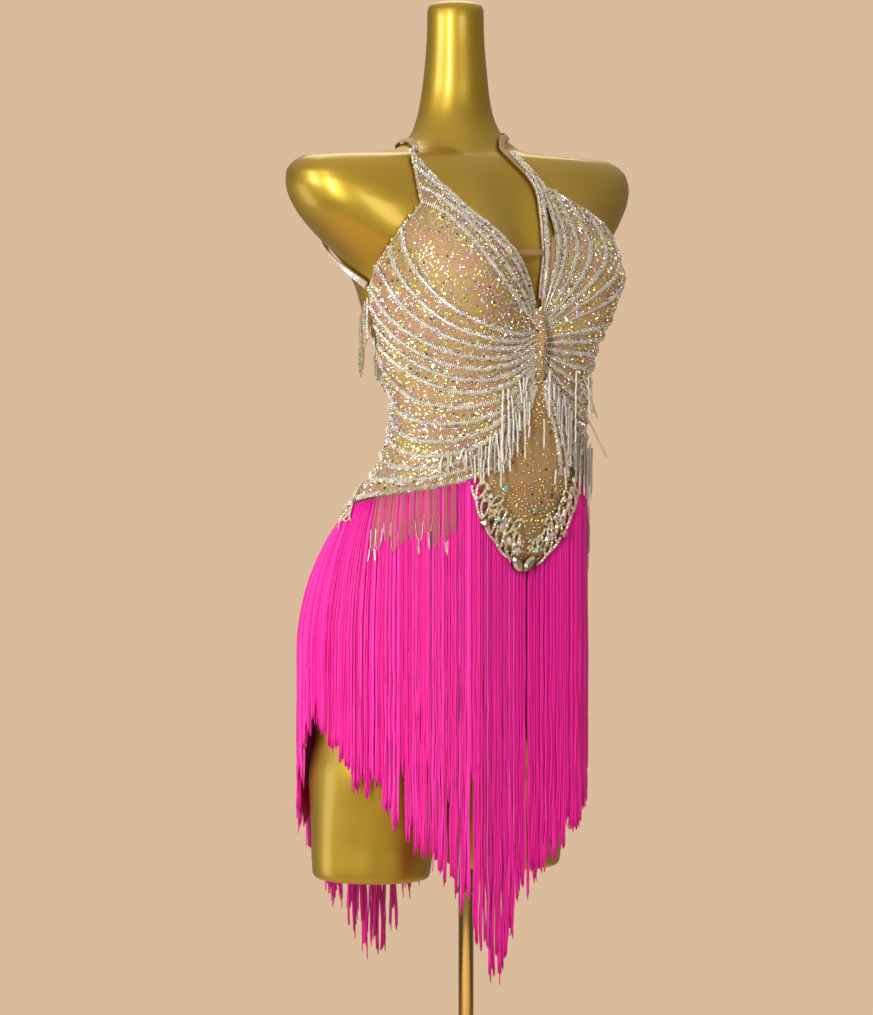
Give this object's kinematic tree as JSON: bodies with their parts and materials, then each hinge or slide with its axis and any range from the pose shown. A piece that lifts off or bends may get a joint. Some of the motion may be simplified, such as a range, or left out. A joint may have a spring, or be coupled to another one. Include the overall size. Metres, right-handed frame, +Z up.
{
  "type": "latin dance dress on a limbless dress form",
  "caption": "Short sleeveless dance dress: beaded ropes fanning from a knot, low back and a long thread fringe, on a limbless gold dress form with a pole and round base.",
  "frame": {"origin": "centre of the base's underside, on the pole's axis", "axes": "+Z up along the pole; -Y is the wearer's front; +X is the wearer's left"},
  "size_m": [0.4664, 0.4026, 1.5725],
  "materials": {
    "gold_form": "glossy gold paint",
    "gold_metal": "brushed",
    "nude_mesh": "fine stretch mesh",
    "beaded_mesh": "mesh covered with bead ropes and stones",
    "crystal": "cut crystal",
    "pink_thread": "smooth shiny thread"
  },
  "bodies": {
    "root": {"form_body": "gold_form", "stand_base": "gold_metal", "stand_pole": "gold_metal", "bodice_front_right": "beaded_mesh", "bodice_front_left": "beaded_mesh", "bodice_centre": "nude_mesh", "bodice_back": "nude_mesh", "waist_knot": "beaded_mesh", "strap_right": "nude_mesh", "strap_left": "beaded_mesh", "strap_back": "nude_mesh", "strap_bridge": "nude_mesh", "fringe_front_right": "pink_thread", "fringe_front_left": "pink_thread", "fringe_back_right": "pink_thread", "fringe_back_left": "pink_thread", "bead_fringe_right": "crystal", "bead_fringe_left": "crystal", "side_drops_right": "nude_mesh", "side_drops_left": "nude_mesh", "hip_drops_right": "nude_mesh", "hip_drops_left": "nude_mesh", "v_lace_right": "crystal", "v_lace_left": "crystal", "hip_lace_right": "crystal", "hip_lace_left": "crystal", "leaf_stone_right": "crystal", "leaf_stone_left": "crystal", "round_stone_right": "crystal", "round_stone_left": "crystal"}
  },
  "joints": []
}
